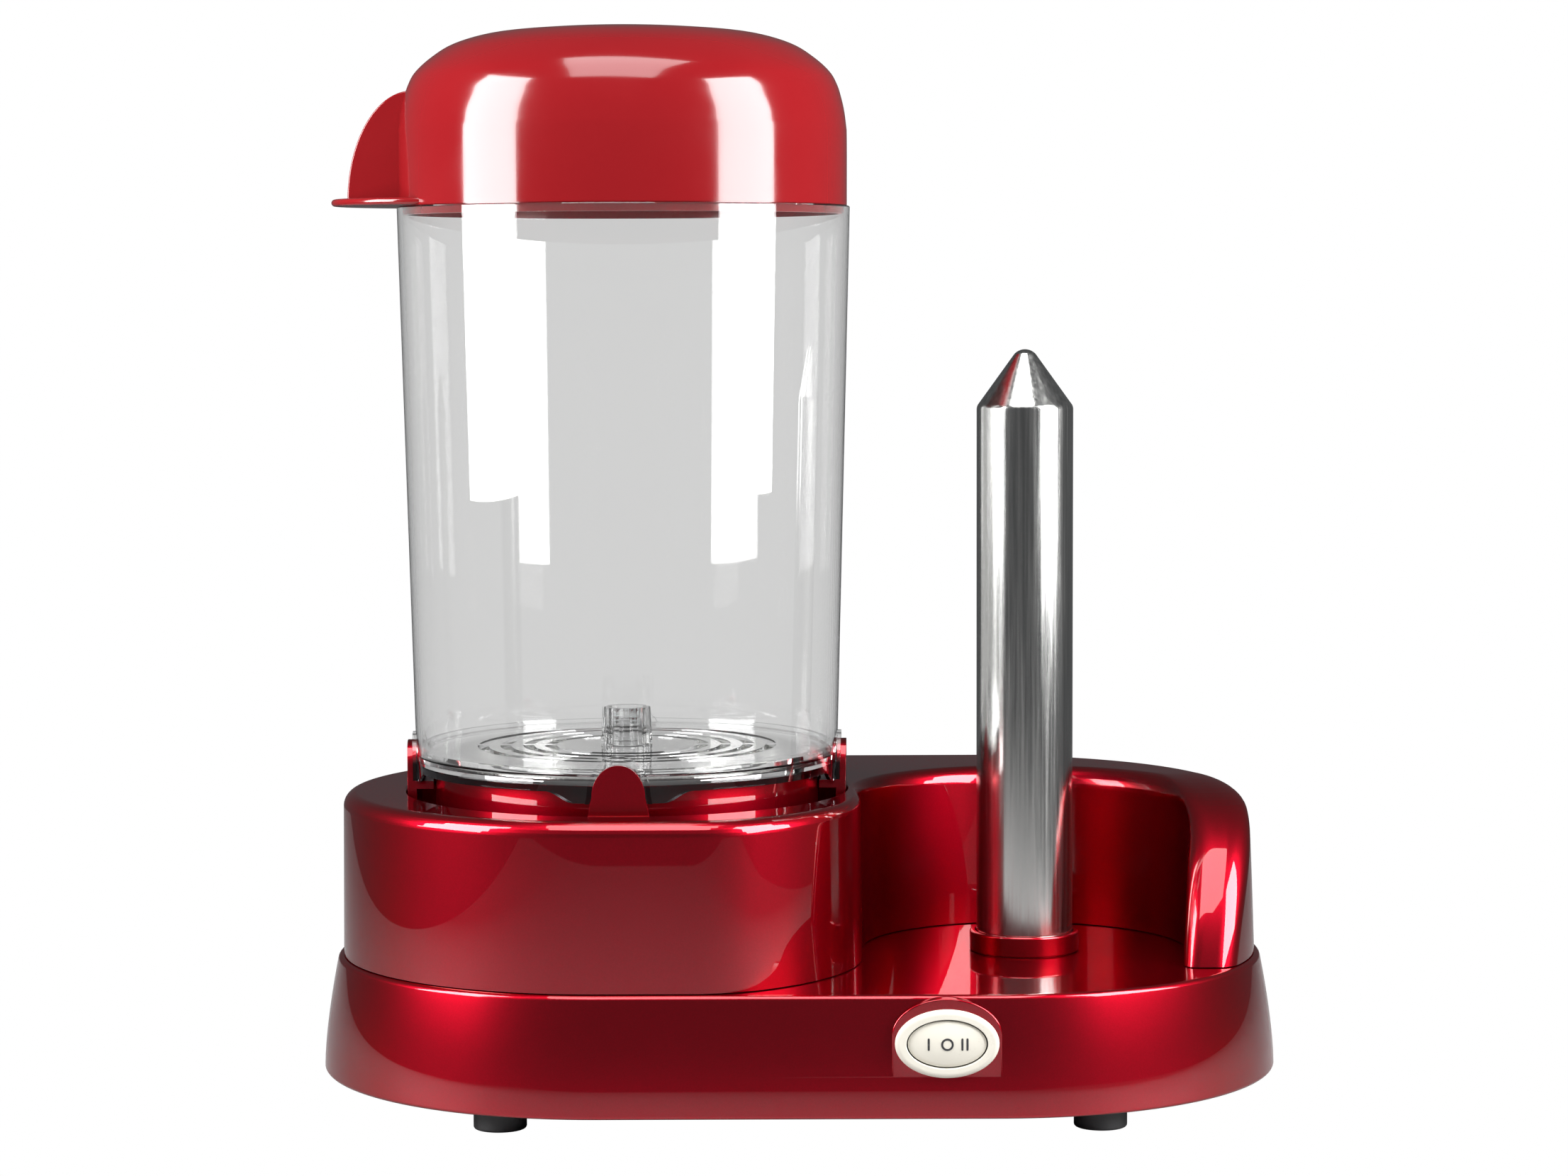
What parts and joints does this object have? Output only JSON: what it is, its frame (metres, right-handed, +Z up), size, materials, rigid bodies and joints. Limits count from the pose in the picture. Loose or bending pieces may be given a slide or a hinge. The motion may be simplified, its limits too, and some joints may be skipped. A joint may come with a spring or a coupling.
{
  "type": "hot dog machine",
  "caption": "Table-top hot dog machine: red drum base with a clear steaming container, slotted tray and domed lid, beside an alcove with a heated steel spike for rolls.",
  "frame": {"origin": "middle of the base at table level", "axes": "+Z up, +X to the right seen from the front, the front with the switch faces -Y"},
  "size_m": [0.3, 0.1827, 0.3319],
  "materials": {
    "candy_red": "glossy candy-metallic lacquer",
    "lid_red": "glossy, solid colour",
    "clear_plastic": "clear moulded plastic",
    "polished_steel": "polished with a fine grain",
    "zinc_steel": "zinc plated",
    "aluminium": "cast",
    "ivory_plastic": "semi-gloss",
    "black_plastic": "matt",
    "grey_rubber": "matt",
    "ceramic": "unglazed"
  },
  "bodies": {
    "base": {"base_plate": "black_plastic", "foot_front_left": "grey_rubber", "foot_front_right": "grey_rubber", "foot_rear_left": "grey_rubber", "foot_rear_right": "grey_rubber", "plinth": "candy_red", "housing": "candy_red", "clip_front": "candy_red", "clip_right": "candy_red", "clip_rear": "candy_red", "clip_left": "candy_red", "water_pan": "polished_steel", "pan_seal": "grey_rubber", "heater_plate": "aluminium", "heater_strap": "zinc_steel", "thermostat": "black_plastic", "thermal_fuse": "ceramic", "spike_tube": "polished_steel", "spike_collar": "candy_red", "spike_heater": "ceramic", "spike_bracket": "zinc_steel", "switch_bezel": "ivory_plastic", "switch_pin": "zinc_steel", "switch_body": "black_plastic", "cord_gland": "black_plastic", "terminal_block": "ceramic"},
    "container": {"container": "clear_plastic"},
    "steam_tray": {"steam_tray": "clear_plastic"},
    "lid": {"lid": "lid_red"},
    "rocker": {"switch_rocker": "ivory_plastic"}
  },
  "joints": [
    {"name": "container_lift", "type": "slide", "parent": "base", "child": "container", "axis": [0, 0, 1], "range_m": [0, 0.12]},
    {"name": "steam_tray_lift", "type": "slide", "parent": "container", "child": "steam_tray", "axis": [0, 0, 1], "range_m": [0, 0.14]},
    {"name": "lid_lift", "type": "slide", "parent": "container", "child": "lid", "axis": [0, 0, 1], "range_m": [0, 0.12]},
    {"name": "switch_rocker_tip", "type": "hinge", "parent": "base", "child": "rocker", "pos_m": [0.0432, -0.0875, 0.029], "axis": [0, 0, 1], "range_deg": [-7, 7]}
  ]
}
